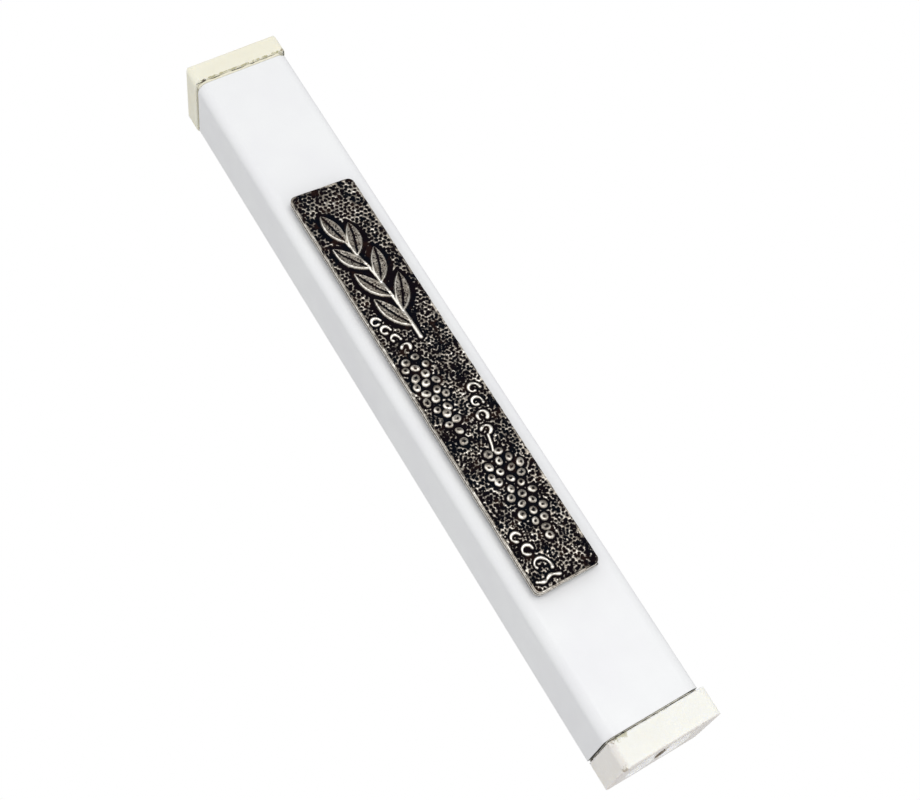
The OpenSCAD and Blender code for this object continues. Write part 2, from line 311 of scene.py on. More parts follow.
PLAQUE_LOW, PLAQUE_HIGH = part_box("plaque")
PLAQUE_W = (PLAQUE_HIGH.x - PLAQUE_LOW.x) / MM
PLAQUE_L = (PLAQUE_HIGH.z - PLAQUE_LOW.z) / MM
PLAQUE_MID_X = (PLAQUE_HIGH.x + PLAQUE_LOW.x) / 2
PLAQUE_MID_Z = (PLAQUE_HIGH.z + PLAQUE_LOW.z) / 2
PLAQUE_T = (PLAQUE_HIGH.y - PLAQUE_LOW.y) / MM
CORNER_R = 1.2
RELIEF_H = 0.6                      # from the floor of the hollows to the highest point
PITCH = 0.1                         # distance between the mesh's points
ROW_STEP = 0.866                    # rows of a staggered grid, as a share of its spacing
GROUND_H = 0.26                     # height of the ground between its pits
GRAPE_R = 0.85
GRAPE_PITCH = 2.1
WIRE_R = 0.4                        # radius of the tendrils
LEAF_L, LEAF_W, LEAF_LEAN = 9.6, 3.2, 26.0
STEM_R, STEM_ARC, STEM_FOOT = 105.0, 12.5, (1.0, 9.2)
LEAVES = 6
SKEW = 0.03                         # how far out of square the casting's ends are
TAPER = 0.01                        # how much shorter its right side is than its left


class Relief:
    """Rasters over the plaque's face: its height in millimetres above the hollows' floor, how far
    its finish is worn off, and where the calm hollows round the motifs are."""

    def __init__(self):
        self.x = np.linspace(-PLAQUE_W / 2, PLAQUE_W / 2, round(PLAQUE_W / PITCH) + 1)
        self.v = np.linspace(-PLAQUE_L / 2, PLAQUE_L / 2, round(PLAQUE_L / PITCH) + 1)
        self.shape = (len(self.v), len(self.x))
        self.height, self.wear, self.calm, self.stipple = (np.zeros(self.shape) for _ in range(4))

    def stamp(self, field, x, v, reach, shape, combine=np.maximum):
        """Combines shape(dx, dv) into field within reach of a place."""
        rows = slice(*np.searchsorted(self.v, (v - reach, v + reach)))
        columns = slice(*np.searchsorted(self.x, (x - reach, x + reach)))
        if rows.start == rows.stop or columns.start == columns.stop:
            return
        dv, dx = np.meshgrid(self.v[rows] - v, self.x[columns] - x, indexing="ij")
        field[rows, columns] = combine(field[rows, columns], shape(dx, dv))

    def hollow(self, x, v, radius, soft):
        """Marks a calm, deep place round a motif."""
        self.stamp(self.calm, x, v, radius + soft,
                   lambda dx, dv: 1.0 - smoothstep(np.hypot(dx, dv), radius, radius + soft))

    def wire(self, points, radius, top):
        """A rounded ridge lying along points, each (x, v, share of the radius)."""
        for x, v, share in points:
            r = radius * share

            def dome(dx, dv):
                return np.sqrt(np.clip(1 - (dx ** 2 + dv ** 2) / r ** 2, 0, 1))

            self.stamp(self.height, x, v, r, lambda dx, dv: top * share * dome(dx, dv))
            self.stamp(self.wear, x, v, r, lambda dx, dv: 0.95 * smoothstep(dome(dx, dv), 0.35, 0.95))
            self.hollow(x, v, r + 0.1, 0.3)


def scattered(spacing, low, high, jitter):
    """Places on a staggered grid between two heights, each moved a little at random."""
    rows = np.arange(low, high, spacing * ROW_STEP)
    for i, v in enumerate(rows):
        for x in np.arange(-PLAQUE_W / 2, PLAQUE_W / 2, spacing) + (i % 2) * spacing / 2:
            yield x + RNG.normal(0, jitter), v + RNG.normal(0, jitter)


def bunch(x, v, rows, lean):
    """Places of the grapes in a bunch, as the CAD's rule has them, each a little out of line."""
    for row, count in enumerate(rows):
        for i in range(count):
            yield (x + lean * row + (i - (count - 1) / 2) * GRAPE_PITCH + RNG.normal(0, 0.14),
                   v - row * GRAPE_PITCH * ROW_STEP + RNG.normal(0, 0.14))


def curl_points(x, v, radius, turn):
    """A tendril's curl: an uneven arc that tightens and thins towards its free end."""
    wobble = RNG.uniform(0, 2 * math.pi)
    arc = 285 * RNG.uniform(0.72, 1.05)         # degrees
    for t in np.linspace(0, 1, 90):
        angle = math.radians(turn + arc * t)
        r = radius * (1.08 - 0.4 * t + 0.13 * math.sin(7 * t + wobble))
        share = 1.02 - 0.25 * t + 0.25 * math.sin(10 * t + wobble)
        yield x + r * math.cos(angle), v + r * math.sin(angle), share


def add_ground(relief):
    """A hammered ground: round pits of two sizes, close together, in a thin raised network, and
    small bumps among the lower ones."""
    relief.height += GROUND_H
    coarse_from = 15.0              # the pits are larger and more even above this height
    bands = ((-PLAQUE_L / 2, coarse_from, 0.74, 0.31, 0.18),
             (coarse_from, PLAQUE_L / 2, 0.88, 0.37, 0.13))
    for low, high, spacing, radius, jitter in bands:
        for x, v in scattered(spacing, low, high, jitter * spacing):
            r = radius * RNG.uniform(0.85, 1.15)
            depth = RNG.uniform(0.19, 0.25)

            def pit(dx, dv):
                return GROUND_H - depth * np.sqrt(np.clip(1 - (dx ** 2 + dv ** 2) / r ** 2, 0, 1))

            relief.stamp(relief.height, x, v, r, pit, np.minimum)
    for x, v in scattered(1.3, -PLAQUE_L / 2, coarse_from, 0.5):
        r = RNG.uniform(0.16, 0.30)
        relief.stamp(relief.height, x, v, r,
                     lambda dx, dv: (GROUND_H + 0.10) * (1 - (dx ** 2 + dv ** 2) / r ** 2))


def add_leaf(relief, foot, heading, length, bend):
    """A pointed leaf with a rounded edge, a stippled face and a groove for its midrib.
    heading is in degrees from straight up, positive to the left."""
    angle = math.radians(heading)
    along = np.array([-math.sin(angle), math.cos(angle)])
    across = np.array([math.cos(angle), math.sin(angle)])
    middle = np.array(foot) + along * length / 2
    reach = length / 2 + 1.2

    def place(dx, dv):
        """Distance in from the leaf's outline, distance from its midrib and share of its length."""
        s = (dx * along[0] + dv * along[1]) / length + 0.5
        t = dx * across[0] + dv * across[1] - bend * (s - 0.5) ** 2
        half = LEAF_W / 2 * np.clip(4 * s * (1 - s), 0, 1) ** 0.85
        beyond = np.maximum(np.abs(s - 0.5) - 0.5, 0) * length
        return half - np.abs(t) - beyond, np.abs(t), s

    def rib(inside, t, s):
        return (1 - smoothstep(t, 0.08, 0.24)) * smoothstep(s, 0.03, 0.2) * smoothstep(inside, 0.2, 0.4)

    def face(dx, dv):
        inside, t, s = place(dx, dv)
        rolled_edge = 0.05 * smoothstep(inside, 0.0, 0.25) * (1 - smoothstep(inside, 0.3, 0.6))
        flat = 0.52 * smoothstep(inside, 0, 0.3)
        return np.where(inside > 0, flat + rolled_edge - 0.2 * rib(inside, t, s), 0)

    def worn(dx, dv):
        inside, t, s = place(dx, dv)
        rubbed_edge = 0.38 * np.exp(-((inside - 0.22) / 0.16) ** 2)
        flat = 0.60 * smoothstep(inside, 0.02, 0.2)
        return np.where(inside > 0, flat + rubbed_edge - 0.55 * rib(inside, t, s), 0)

    relief.stamp(relief.height, *middle, reach, face)
    relief.stamp(relief.wear, *middle, reach, worn)
    relief.stamp(relief.calm, *middle, reach, lambda dx, dv: smoothstep(place(dx, dv)[0], -1.1, -0.6))
    relief.stamp(relief.stipple, *middle, reach, lambda dx, dv: smoothstep(place(dx, dv)[0], 0.2, 0.5))


def sprig(relief):
    """The sprig in the top third: a bent stem with leaves in turn on each side."""
    foot_x, foot_v = STEM_FOOT

    def on_stem(angle):
        a = math.radians(angle)
        return foot_x + STEM_R * (math.cos(a) - 1), foot_v + STEM_R * math.sin(a)

    relief.wire([(*on_stem(a), 1.15 - 0.045 * a) for a in np.linspace(-0.6, STEM_ARC, 320)], 0.46, 0.5)
    for i in range(LEAVES + 1):
        angle = (i + 0.3) * STEM_ARC / (LEAVES + 0.3)
        side = 0 if i == LEAVES else (1 if i % 2 == 0 else -1)
        add_leaf(relief, on_stem(angle), angle + side * LEAF_LEAN, LEAF_L - 0.3 * i, 1.6 * side)


def add_grape(relief, x, v):
    """A bead with a flattened, dented top that is rubbed brightest round the dent."""
    r = GRAPE_R * RNG.uniform(0.92, 1.14)
    top = RNG.uniform(0.46, RELIEF_H)
    dent = RNG.uniform(0.06, 0.16)
    dent_x, dent_v = RNG.normal(0, 0.1, 2)
    squash, turn, bright_side = RNG.uniform(-0.16, 0.16), *RNG.uniform(0, 2 * math.pi, 2)
    shine = RNG.uniform(0.80, 1.08)

    def away(dx, dv):
        return np.hypot(dx, dv) / r * (1 + squash * np.cos(2 * (np.arctan2(dv, dx) - turn)))

    def dented(dx, dv):
        return np.exp(-((dx - dent_x) ** 2 + (dv - dent_v) ** 2) / 0.10)

    def dome(dx, dv):
        d = away(dx, dv)
        return np.where(d < 1, top * np.clip(1 - d ** 3, 0, 1) ** 0.5 - dent * dented(dx, dv), 0)

    def worn(dx, dv):
        ring = np.exp(-((away(dx, dv) - 0.70) / 0.20) ** 2)
        ring *= 0.80 + 0.35 * np.cos(np.arctan2(dv, dx) - bright_side)
        rubbed = 0.50 + 0.54 * ring - 0.28 * dented(dx, dv)
        return shine * rubbed * (1 - smoothstep(away(dx, dv), 0.86, 1.0))

    relief.stamp(relief.height, x, v, 1.15 * r, dome)
    relief.stamp(relief.wear, x, v, 1.15 * r, worn)
    relief.hollow(x, v, r + 0.15, 0.35)


def vine(relief):
    """Two bunches of grapes and the tendrils between them."""
    grapes = [*bunch(-3.2, 4.6, [2, 3, 2, 3, 2, 3, 2, 1, 2, 1], 0.06), (-2.9, -14.1),
              *bunch(0.7, -18.6, [2, 3, 4, 3, 2, 3, 2, 3, 2, 1, 1], 0.08)]
    curls = [*((-4.9 + 0.7 * i, 14.2 - 2.3 * i, 0.95, 10 - 15 * i) for i in range(4)),
             *((4.3 - 0.85 * i, -5.4 - 2.8 * i, 1.05, -20 - 15 * i) for i in range(4)),
             *((-4.3 + 0.5 * i, -34.6 - 2.9 * i, 1.05, 20 - 15 * i) for i in range(2)),
             (-2.9, -40.9, 1.6, -40)]
    for curl in curls:
        relief.wire(list(curl_points(*curl)), WIRE_R, 0.52)
    branch = [(x, -43.4 + 0.3 * math.sin(1.9 * x), 1.0 + 0.2 * math.sin(4 * x))
              for x in np.linspace(-5.4, -0.9, 90)]
    drop = [(1.75 - 0.9 * t, -14.9 - 3.2 * t - 0.5 * math.sin(math.pi * t), 0.9 - 0.35 * t)
            for t in np.linspace(0, 1, 60)]
    relief.wire(branch, WIRE_R, 0.46)
    relief.wire(drop, WIRE_R, 0.46)
    for x, v in grapes:
        add_grape(relief, x, v)


def edge_distance(x, v):
    """Distance in from the plaque's rounded outline."""
    qx = np.abs(x) - (PLAQUE_W / 2 - CORNER_R)
    qv = np.abs(v) - (PLAQUE_L / 2 - CORNER_R)
    outside = np.hypot(np.maximum(qx, 0), np.maximum(qv, 0))
    return CORNER_R - outside - np.minimum(np.maximum(qx, qv), 0)


def make_relief():
    """The finished height and wear rasters."""
    ground, motifs = Relief(), Relief()
    add_ground(ground)
    sprig(motifs)
    vine(motifs)
    dots = np.zeros(ground.shape)
    for x, v in scattered(0.36, -PLAQUE_L / 2, PLAQUE_L / 2, 0.08):
        r = RNG.uniform(0.10, 0.19)
        motifs.stamp(dots, x, v, r, lambda dx, dv: 1 - smoothstep(np.hypot(dx, dv), 0.0, r))
    dots *= motifs.stipple
    calm_floor = 0.05 + 0.015 * rough(ground.shape, 4)
    height = ground.height * (1 - motifs.calm) + calm_floor * motifs.calm
    proud = height - blur(height, 3.2)
    wear = (0.19 + 4.5 * proud + 0.07 * rough(ground.shape, 9)
            + 0.09 * rough(ground.shape, 2.2)) * (1 - 0.85 * motifs.calm)

    # The rim is a clear ridge on the left and at the foot, and hardly there on the other sides.
    x, v = np.meshgrid(ground.x, ground.v)
    inwards = edge_distance(x, v)
    clear = np.maximum(smoothstep(-x, PLAQUE_W / 2 - 1.5, PLAQUE_W / 2 - 0.8),
                       smoothstep(-v, PLAQUE_L / 2 - 1.5, PLAQUE_L / 2 - 0.8))
    ridge = smoothstep(inwards, -0.15, 0.12) * (1 - smoothstep(inwards, 0.26, 0.46))
    rim = (0.28 + 0.14 * clear + 0.02 * rough(ground.shape, 8)) * ridge
    height = np.maximum(height, rim)
    uneven = 0.10 * rough(ground.shape, 7)
    wear = np.maximum(wear, ridge * (0.38 + 0.22 * clear + uneven))

    height = np.maximum(height, motifs.height - 0.08 * dots)
    wear = np.maximum(wear, motifs.wear) - 0.60 * dots
    height = np.clip(blur(height, 0.75) + 0.006 * rough(ground.shape, 1.2), 0.0, RELIEF_H)
    wear = np.clip(blur(wear, 0.6) + 0.05 * rough(ground.shape, 1.5), 0.0, 1.0)
    return ground, height, wear


def sample(raster, relief, x, v):
    """Bilinear value of a raster at places (x, v)."""
    i = np.clip((v - relief.v[0]) / (relief.v[1] - relief.v[0]), 0, len(relief.v) - 1.001)
    j = np.clip((x - relief.x[0]) / (relief.x[1] - relief.x[0]), 0, len(relief.x) - 1.001)
    r, c = i.astype(int), j.astype(int)
    fr, fc = i - r, j - c
    return ((raster[r, c] * (1 - fc) + raster[r, c + 1] * fc) * (1 - fr)
            + (raster[r + 1, c] * (1 - fc) + raster[r + 1, c + 1] * fc) * fr)


def plaque():
    """The casting: the relief over a rounded outline, a wall with a parting line, and a flat back."""
    relief, height, wear = make_relief()
    rows, columns = relief.shape
    v = np.repeat(relief.v, columns)
    in_corner = np.clip(np.abs(relief.v) - (PLAQUE_L / 2 - CORNER_R), 0, CORNER_R)
    half = PLAQUE_W / 2 - CORNER_R + np.sqrt(CORNER_R ** 2 - in_corner ** 2)
    x = (np.linspace(-1, 1, columns)[None, :] * half[:, None]).ravel()
    front_y = RELIEF_H - sample(height, relief, x, v)               # depth below the CAD box's front
    points = [np.column_stack([x, front_y, v])]
    attribute = [sample(wear, relief, x, v)]
    faces = grid_faces(rows, columns)

    # The wall: rings of the outline's points. Each has its depth, how far out it is set from the
    # outline, and its wear.
    outline = border(rows, columns)
    ox, ov = x[outline], v[outline]
    tangent = np.column_stack([np.roll(ox, -1) - np.roll(ox, 1), np.roll(ov, -1) - np.roll(ov, 1)])
    tangent /= np.linalg.norm(tangent, axis=1)[:, None]
    normal = np.column_stack([tangent[:, 1], -tangent[:, 0]])
    n = len(outline)
    previous = outline
    wall = ((0.30, 0.04, 0.80), (0.55, 0.06, 0.85), (0.82, 0.05, 0.60), (0.92, -0.04, 0.1),
            (1.08, -0.04, 0.1), (1.17, 0.06, 0.75), (1.52, 0.05, 0.80), (PLAQUE_T - 0.1, -0.02, 0.3),
            (PLAQUE_T, -0.12, 0.1))
    total = rows * columns
    knots = np.arange(0, n, 12)
    waver = 0.02 * np.interp(np.arange(n), knots, RNG.standard_normal(len(knots)))
    for depth, out, worn in wall:
        ring = np.arange(total, total + n)
        points.append(np.column_stack([ox + normal[:, 0] * (out + waver), np.full(n, depth),
                                       ov + normal[:, 1] * (out + waver)]))
        attribute.append(np.clip(worn + 0.10 * RNG.standard_normal(n), 0, 1))
        faces += zip(previous, ring, np.roll(ring, -1), np.roll(previous, -1))
        previous, total = ring, total + n

    # The back: strips between the last ring's left and right sides.
    bottom, right = columns - 1, rows - 1
    lower = previous[:bottom + 1]
    side_r = previous[bottom:bottom + right + 1]
    upper = previous[bottom + right:2 * bottom + right + 1]
    side_l = np.concatenate([previous[2 * bottom + right:], previous[:1]])[::-1]
    faces.append(tuple(lower[::-1]) + (side_l[1], side_r[1]))
    faces += [(side_l[i], side_l[i + 1], side_r[i + 1], side_r[i]) for i in range(1, right - 1)]
    faces.append((side_l[-2],) + tuple(upper[::-1]) + (side_r[-2],))

    points = np.concatenate(points)
    points[:, 2] *= 1 - TAPER * (points[:, 0] / PLAQUE_W + 0.5)
    points[:, 2] -= SKEW * points[:, 0]
    points = points * MM + np.array([PLAQUE_MID_X, PLAQUE_LOW.y, PLAQUE_MID_Z])
    piece = mesh_piece("plaque_casting", points, faces, {"wear": np.concatenate(attribute)})
    attach(piece, "plaque", antiqued_casting())


# ---------------------------------------------------------------- the caps

def soften(node, width, material):
    """Keeps a CAD solid, rounds its sharp edges as a moulding has them, and gives it a material."""
    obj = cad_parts[node]
    obj.modifiers.new("weld", "WELD").merge_threshold = 0.001 * MM
    merge = obj.modifiers.new("merge", "DECIMATE")
    merge.decimate_type = "DISSOLVE"
    merge.angle_limit = math.radians(1.0)
    bevel = obj.modifiers.new("bevel", "BEVEL")
    bevel.width = width
    bevel.segments = 3
    bevel.limit_method = "ANGLE"
    bevel.angle_limit = math.radians(38)
    bevel.harden_normals = True
    obj.data.shade_smooth()
    obj.modifiers.new("shade", "WEIGHTED_NORMAL").keep_sharp = False
    obj.data.materials.clear()
    obj.data.materials.append(material)


def lumps(points, cell, seed):
    """Smooth noise of about -1..1 at points, from a sum of seeded waves about one cell long."""
    rng = np.random.default_rng(seed)
    total = np.zeros(len(points))
    for _ in range(24):
        direction = rng.standard_normal(3)
        direction *= rng.uniform(0.6, 1.6) / np.linalg.norm(direction)
        total += np.sin(points @ direction * (2 * math.pi / cell) + rng.uniform(0, 2 * math.pi))
    return total / 5


TUBE_LOW, TUBE_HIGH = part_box("case_tube")
TUBE_MID_Y = (TUBE_LOW.y + TUBE_HIGH.y) / 2
FRONT_R = 2.2 * MM                  # radius of the tube's front edges
BACK_R = 1.6 * MM


def tube_outline(step):
    """Points (x, y) and outward normals round the tube, one each step."""
    half = (TUBE_HIGH.x - TUBE_LOW.x) / 2
    back, front = TUBE_HIGH.y - BACK_R, TUBE_LOW.y + FRONT_R
    corners = ((half - BACK_R, back, BACK_R, 0), (-half + BACK_R, back, BACK_R, 90),
               (-half + FRONT_R, front, FRONT_R, 180), (half - FRONT_R, front, FRONT_R, 270))
    loop = []
    for x, y, radius, start in corners:
        for angle in np.radians(np.linspace(start, start + 90, 10)):
            loop.append((x + radius * math.cos(angle), y + radius * math.sin(angle)))
    loop = np.array(loop + loop[:1])
    length = np.concatenate([[0], np.cumsum(np.linalg.norm(np.diff(loop, axis=0), axis=1))])
    places = np.linspace(0, length[-1], int(length[-1] / step), endpoint=False)
    points = np.column_stack([np.interp(places, length, loop[:, k]) for k in range(2)])
    tangent = np.roll(points, -1, axis=0) - np.roll(points, 1, axis=0)
    tangent /= np.linalg.norm(tangent, axis=1)[:, None]
    return points, np.column_stack([tangent[:, 1], -tangent[:, 0]])


def waves(n, step, finest, rng):
    """Seeded noise round a closed loop with a standard deviation of 1 and no detail finer than
    about finest millimetres."""
    spectrum = np.fft.rfft(rng.standard_normal(n))
    spectrum *= np.exp(-(np.arange(len(spectrum)) * finest / (n * step)) ** 2)
    wave = np.fft.irfft(spectrum, n)
    return wave / wave.std()


def ribbon(name, node, outline, low, high, out_low, out_high, material):
    """A closed band round the tube's end. outline is what tube_outline returns, low and high are
    the band's edges, and out_low and out_high say how far they stand off the outline."""
    points, normals = outline
    n = len(points)
    middle, bulge = (low + high) / 2, np.maximum(out_low, out_high) + 0.03 * MM
    rings = []
    for z, out in ((low, out_low), (0.75 * low + 0.25 * high, (out_low + bulge) / 2), (middle, bulge),
                   (0.25 * low + 0.75 * high, (out_high + bulge) / 2), (high, out_high),
                   (high, out_high - 0.5 * MM), (low, out_low - 0.5 * MM)):
        rings.append(np.column_stack([points + normals * out[:, None], z]))
    faces = grid_faces(len(rings), n, loop=True)
    last = (len(rings) - 1) * n
    faces += [(last + i, last + (i + 1) % n, (i + 1) % n, i) for i in range(n)]
    attach(mesh_piece(name, np.concatenate(rings), faces), node, material, replaces=False)


def flash(node, tube_z, away, height, wave, stand, fade, seed, material):
    """A thin, wavy strip of moulding flash in the gap beside the tube's end at tube_z. away is 1
    above the tube and -1 below it. The strip has the given height, waves by the length wave, and
    stands out from the tube's outline by the length stand. Round the corners, and over the length
    fade at the right, it draws back into the gap."""
    step = 0.12
    points, normals = tube_outline(step * MM)
    n = len(points)
    rng = np.random.default_rng(seed)
    thick, edge, low_edge = (waves(n, step, fine, rng) for fine in (2.4, 1.4, 1.8))
    half = (TUBE_HIGH.x - TUBE_LOW.x) / 2
    there = smoothstep(-normals[:, 1], 0.1, 0.7) * smoothstep(half - points[:, 0], 0.6 * MM, fade)
    high = tube_z + away * (0.9 + 0.1 * there) * (height + wave * edge)
    low = tube_z + away * (0.03 + 0.02 * np.abs(low_edge) + 0.1 * (1 - there)) * MM
    drawn_back = 0.4 * MM * (1 - there)
    out_low = (stand + (0.03 * thick - 0.02) * MM) * there - drawn_back
    out_high = (stand + (0.04 * edge + 0.02) * MM) * there - drawn_back
    ribbon(node + "_flash", node, (points, normals), low, high, out_low, out_high, material)


# ---------------------------------------------------------------- tapes and scroll

def tape(node, name, material, slack):
    """A strip of foam tape inside its CAD solid's box, with soft, slightly uneven cut edges."""
    low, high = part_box(node)
    w, length, t = high.x - low.x, high.z - low.z, high.y - low.y
    rows, columns = round(length / (0.5 * MM)) + 1, round(w / (0.5 * MM)) + 1
    z, x = np.meshgrid(np.linspace(-0.5, 0.5, rows), np.linspace(-0.5, 0.5, columns), indexing="ij")
    x, z, none = x.ravel(), z.ravel(), np.zeros(x.size)
    ripple = lumps(np.column_stack([x, none, z]) * length, 9 * MM, 5) * slack
    pull = np.abs(lumps(np.column_stack([z * length, none, none]), 14 * MM, 7)) * slack
    px, pz = x * w * (1 - 2 * pull / w), z * length
    edge = np.minimum((0.5 - np.abs(x)) * w, (0.5 - np.abs(z)) * length)
    inset = 0.16 * t * (1 - smoothstep(edge, 0.0, 0.9 * MM))
    pz = pz + (low.z + high.z) / 2
    front = np.column_stack([px, low.y + inset + np.abs(ripple), pz])
    back = np.column_stack([px, high.y - inset - 0.3 * np.abs(ripple), pz])
    count = rows * columns
    outline = border(rows, columns)
    faces = grid_faces(rows, columns)
    faces += [tuple(reversed(f)) for f in grid_faces(rows, columns, start=count)]
    bulge = np.column_stack([px[outline], np.full(len(outline), (low.y + high.y) / 2), pz[outline]])
    middle = 2 * count + np.arange(len(outline))
    for a, b in ((outline, middle), (middle, outline + count)):
        faces += list(zip(a, b, np.roll(b, -1), np.roll(a, -1)))
    piece = mesh_piece(name, np.concatenate([front, back, bulge]), faces)
    attach(piece, node, material)


def rolled_parchment():
    """The parchment: one sheet wound from its core outwards, with slightly wavy cut edges."""
    low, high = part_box("scroll")
    wrap_low, wrap_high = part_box("scroll_wrap")
    turns, thick = 4.0, 0.4 * MM
    outer = (wrap_high.x - wrap_low.x) / 2 - 0.3 * MM - thick
    pitch = 0.7 * MM
    inner = outer - pitch * turns
    steps, rows = 260, 90
    angle = np.linspace(0, 2 * math.pi * turns, steps)
    rng = np.random.default_rng(3)
    ease = np.interp(angle, np.linspace(0, angle[-1], 16), rng.uniform(-0.05, 0.05, 16)) * MM
    radius = inner + pitch * angle / (2 * math.pi) + ease
    wave = 0.18 * MM * np.sin(angle * 1.7) + 0.08 * MM * np.sin(angle * 4.3 + 1)
    height = high.z - low.z
    share = np.linspace(0, 1, rows)
    sides = []
    for extra in (0.0, thick):
        r = np.tile(radius + extra, rows)
        a = np.tile(angle, rows)
        lift = np.repeat(share, steps)
        z = low.z + height * lift + (np.tile(wave, rows) - 0.26 * MM) * (2 * lift - 1)
        sides.append(np.column_stack([r * np.cos(a), TUBE_MID_Y + r * np.sin(a), z]))
    count = rows * steps
    outline = border(rows, steps)
    faces = [tuple(reversed(f)) for f in grid_faces(rows, steps)] + grid_faces(rows, steps, start=count)
    faces += list(zip(np.roll(outline, -1), np.roll(outline, -1) + count, outline + count, outline))
    along = np.minimum(np.repeat(share, steps), 1 - np.repeat(share, steps)) * height
    edge = np.tile(1 - smoothstep(along, 0.0, 1.2 * MM), 2)
    piece = mesh_piece("rolled_parchment", np.concatenate(sides), faces, {"edge": edge})
    attach(piece, "scroll", parchment())


def sleeve():
    """The clear sleeve: a thin tube with fine lengthwise wrinkles and an overlapping seam."""
    low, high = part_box("scroll_wrap")
    outer = (high.x - low.x) / 2
    steps, rows = 200, 60
    angle = np.linspace(0, 2 * math.pi, steps, endpoint=False)
    wrinkle = 0.02 * MM * (np.sin(23 * angle) + np.sin(41 * angle + 1)) - 0.04 * MM
    seam = -0.06 * MM * smoothstep(np.abs(angle - math.pi / 2), 0.0, 0.16)
    share = np.linspace(0, 1, rows)
    sides = []
    for inset in (0.0, 0.12 * MM):
        a = np.tile(angle, rows)
        z = low.z + (high.z - low.z) * np.repeat(share, steps)
        pinch = 0.05 * MM * np.abs(np.sin(3 * a)) * np.repeat(share ** 4, steps)
        r = np.tile(outer - inset + wrinkle + seam, rows) - pinch
        sides.append(np.column_stack([r * np.cos(a), TUBE_MID_Y + r * np.sin(a), z]))
    count = rows * steps
    faces = grid_faces(rows, steps, loop=True)
    faces += [tuple(reversed(f)) for f in grid_faces(rows, steps, start=count, loop=True)]
    for row in (0, rows - 1):
        ring = row * steps + np.arange(steps)
        pairs = zip(ring, ring + count, np.roll(ring, -1) + count, np.roll(ring, -1))
        faces += [f if row == 0 else tuple(reversed(f)) for f in pairs]
    attach(mesh_piece("clear_sleeve", np.concatenate(sides), faces), "scroll_wrap", clear_film())


# ---------------------------------------------------------------- studio

def stage():
    """A large pale floor well below the hanging case, and a white studio round it."""
    mesh = bpy.data.meshes.new("floor")
    radius, sides, depth = 2.6, 64, 0.26
    ring = [(radius * math.cos(a), radius * math.sin(a), CAD_BOX[0].z - depth)
            for a in np.linspace(0, 2 * math.pi, sides, endpoint=False)]
    mesh.from_pydata(ring, [], [tuple(range(sides))])
    floor = bpy.data.objects.new("floor", mesh)
    bpy.context.scene.collection.objects.link(floor)
    n = Nodes("floor")
    n.set(Base_Color=n.mix(n.ramp(n.noise(8, 2.0), 0.3, 0.7), (0.86, 0.86, 0.86), (0.88, 0.88, 0.88)),
          Roughness=0.8)
    mesh.materials.append(n.material)

    world = bpy.data.worlds.new("studio")
    bpy.context.scene.world = world
    world.use_nodes = True
    world.cycles.sampling_method = "NONE"       # glossy rays see another sky than diffuse ones
    tree = world.node_tree
    tree.nodes.clear()

    def node(kind, settings=None, *inputs):
        made = tree.nodes.new(kind)
        for key, value in (settings or {}).items():
            setattr(made, key, value)
        for index, value in enumerate(inputs):
            if isinstance(value, bpy.types.NodeSocket):
                tree.links.new(value, made.inputs[index])
            elif value is not None:
                made.inputs[index].default_value = value
        return made

    # Mirror directions: brightest to the left and below the front, dark to the right and above.
    direction = node("ShaderNodeTexCoord").outputs["Generated"]
    facing = node("ShaderNodeVectorMath", {"operation": "DOT_PRODUCT"}, direction, (-0.69, -0.64, -0.32))
    sky = node("ShaderNodeMapRange", {"interpolation_type": "SMOOTHSTEP"}, facing.outputs["Value"],
               -0.2, 0.8, 0.25, 1.20)
    glossy = node("ShaderNodeBackground", None, (0.98, 0.99, 1.0, 1), sky.outputs["Result"])
    diffuse = node("ShaderNodeBackground", None, (0.985, 0.99, 1.0, 1), 0.94)
    seen = node("ShaderNodeBackground", None, (1, 1, 1, 1), 1.0)
    path = node("ShaderNodeLightPath")
    lit = node("ShaderNodeMixShader", None, path.outputs["Is Glossy Ray"], diffuse.outputs[0],
               glossy.outputs[0])
    pick = node("ShaderNodeMixShader", None, path.outputs["Is Camera Ray"], lit.outputs[0],
                seen.outputs[0])
    node("ShaderNodeOutputWorld", None, pick.outputs[0])


def key_light():
    """One square softbox in front of the case, a little to the right and below."""
    light = bpy.data.lights.new("key", "AREA")
    light.shape = "SQUARE"
    light.size = 0.8
    light.energy = 4.8
    obj = bpy.data.objects.new("key", light)
    bpy.context.scene.collection.objects.link(obj)
    obj.location = (0.18, -1.26, -0.15)
    obj.rotation_euler = (-obj.location).to_track_quat("-Z", "Y").to_euler()


def camera():
    """The camera stands left of and below the case, 0.3 m away, and looks slightly up at it."""
    data = bpy.data.cameras.new("camera")
    data.sensor_width = 36.0
    data.lens = 59.0971
    data.clip_start = 0.01
    obj = bpy.data.objects.new("camera", data)
    bpy.context.scene.collection.objects.link(obj)
    place = Vector((-89.426, -264.279, -97.909)) * MM
    look = Vector((-3.066, -28.528, -13.117)) * MM
    roll = math.radians(32.615)
    turn = (look - place).to_track_quat("-Z", "Y").to_matrix() @ Matrix.Rotation(-roll, 3, "Z")
    obj.matrix_world = Matrix.Translation(place) @ turn.to_4x4()
    bpy.context.scene.camera = obj
    bpy.context.scene.view_settings.view_transform = "Standard"


# ---------------------------------------------------------------- the object

TOP_GAP, BOTTOM_GAP = 0.6 * MM, 0.4 * MM    # between each flange and the tube's end
# Mark colours: brown for grime, also used as painted shade in a pocket's inner corner; near black and dark
# grey for painted shade on the plugs seen through the gaps; olive.
SOIL_AND_SHADE, GAP_SHADE, GREY_GAP_SHADE = (0.20, 0.15, 0.07), (0.06, 0.038, 0.02), (0.16, 0.14, 0.10)
OLIVE = (0.36, 0.34, 0.17)


